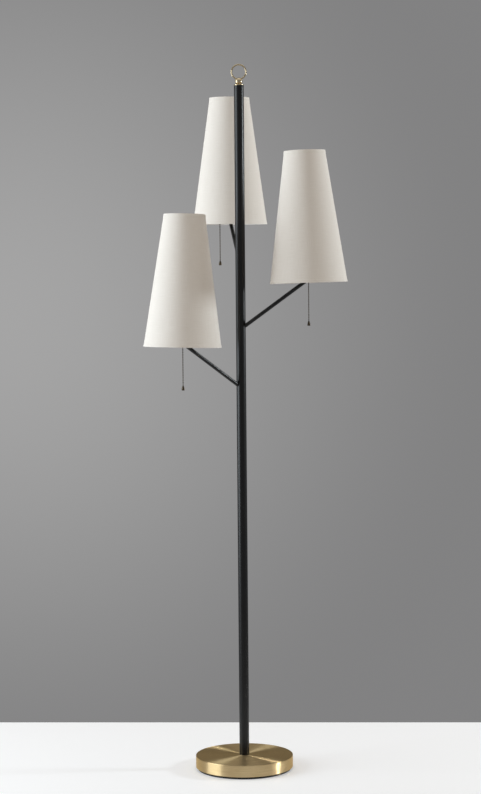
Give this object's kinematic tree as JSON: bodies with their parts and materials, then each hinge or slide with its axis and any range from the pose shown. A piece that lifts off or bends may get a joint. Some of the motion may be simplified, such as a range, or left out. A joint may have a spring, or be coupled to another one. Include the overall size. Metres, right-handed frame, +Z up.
{
  "type": "tree floor lamp",
  "caption": "Tree floor lamp with tall tapered fabric shades on bent arms round one upright pole, a round weighted base and pull-chain switches.",
  "frame": {"origin": "on the floor, at the foot of the pole's axis", "axes": "+Z up along the pole; +X to the right and +Y away, as seen from the front"},
  "size_m": [0.5122, 0.4921, 1.8023],
  "materials": {
    "antique_brass": "brushed, slightly aged",
    "aged_brass": "aged satin",
    "black_metal": "satin",
    "shade_fabric": "fine woven",
    "frame_wire": "satin",
    "cast_weight": "as cast",
    "pad_rubber": "matte",
    "plain_steel": "plain",
    "black_plastic": "matte",
    "bulb_glass": "frosted",
    "bulb_cap": "satin",
    "lead_jacket": "smooth"
  },
  "bodies": {
    "lamp": {"base_cover": "antique_brass", "finial_cap": "antique_brass", "finial_ball": "antique_brass", "finial_ring": "antique_brass", "pole_section_1": "black_metal", "pole_section_2": "black_metal", "pole_section_3": "black_metal", "pole_section_4": "black_metal", "arm_low": "black_metal", "arm_middle": "black_metal", "arm_top": "black_metal", "socket_cap_low": "black_metal", "socket_cap_middle": "black_metal", "socket_cap_top": "black_metal", "socket_shell_low": "black_metal", "socket_shell_middle": "black_metal", "socket_shell_top": "black_metal", "chain_guide_low": "black_metal", "chain_guide_middle": "black_metal", "chain_guide_top": "black_metal", "shade_cover_low": "shade_fabric", "shade_cover_middle": "shade_fabric", "shade_cover_top": "shade_fabric", "shade_frame_low": "frame_wire", "shade_frame_middle": "frame_wire", "shade_frame_top": "frame_wire", "shade_top_ring_low": "frame_wire", "shade_top_ring_middle": "frame_wire", "shade_top_ring_top": "frame_wire", "base_weight": "cast_weight", "base_pad": "pad_rubber", "base_washer": "plain_steel", "base_nut": "plain_steel", "base_stem": "plain_steel", "pole_couplers": "plain_steel", "pole_plugs": "plain_steel", "lampholder_low": "black_plastic", "lampholder_middle": "black_plastic", "lampholder_top": "black_plastic", "shade_retainer_low": "black_plastic", "shade_retainer_middle": "black_plastic", "shade_retainer_top": "black_plastic", "cord_bushing": "black_plastic", "bulb_glass_low": "bulb_glass", "bulb_glass_middle": "bulb_glass", "bulb_glass_top": "bulb_glass", "bulb_cap_low": "bulb_cap", "bulb_cap_middle": "bulb_cap", "bulb_cap_top": "bulb_cap", "arm_leads": "lead_jacket"},
    "plunger_low": {"pull_plunger_low": "aged_brass"},
    "chain_low": {"pull_chain_low": "aged_brass", "pull_bell_low": "aged_brass"},
    "plunger_middle": {"pull_plunger_middle": "aged_brass"},
    "chain_middle": {"pull_chain_middle": "aged_brass", "pull_bell_middle": "aged_brass"},
    "plunger_top": {"pull_plunger_top": "aged_brass"},
    "chain_top": {"pull_chain_top": "aged_brass", "pull_bell_top": "aged_brass"}
  },
  "joints": [
    {"name": "pull_low", "type": "slide", "parent": "lamp", "child": "plunger_low", "axis": [0, 0, -1], "range_m": [0, 0.01], "stiffness_N_per_m": 300, "springref_m": -0.01},
    {"name": "swing_low", "type": "hinge", "parent": "plunger_low", "child": "chain_low", "pos_m": [-0.14454, -0.13693, 1.12998], "axis": [0, 1, 0], "range_deg": [-25, 25]},
    {"name": "pull_middle", "type": "slide", "parent": "lamp", "child": "plunger_middle", "axis": [0, 0, -1], "range_m": [0, 0.01], "stiffness_N_per_m": 300, "springref_m": -0.01},
    {"name": "swing_middle", "type": "hinge", "parent": "plunger_middle", "child": "chain_middle", "pos_m": [0.17023, -0.09278, 1.28698], "axis": [0, 1, 0], "range_deg": [-25, 25]},
    {"name": "pull_top", "type": "slide", "parent": "lamp", "child": "plunger_top", "axis": [0, 0, -1], "range_m": [0, 0.01], "stiffness_N_per_m": 300, "springref_m": -0.01},
    {"name": "swing_top", "type": "hinge", "parent": "plunger_top", "child": "chain_top", "pos_m": [-0.05266, 0.18259, 1.441], "axis": [1, 0, 0], "range_deg": [-25, 25]}
  ]
}
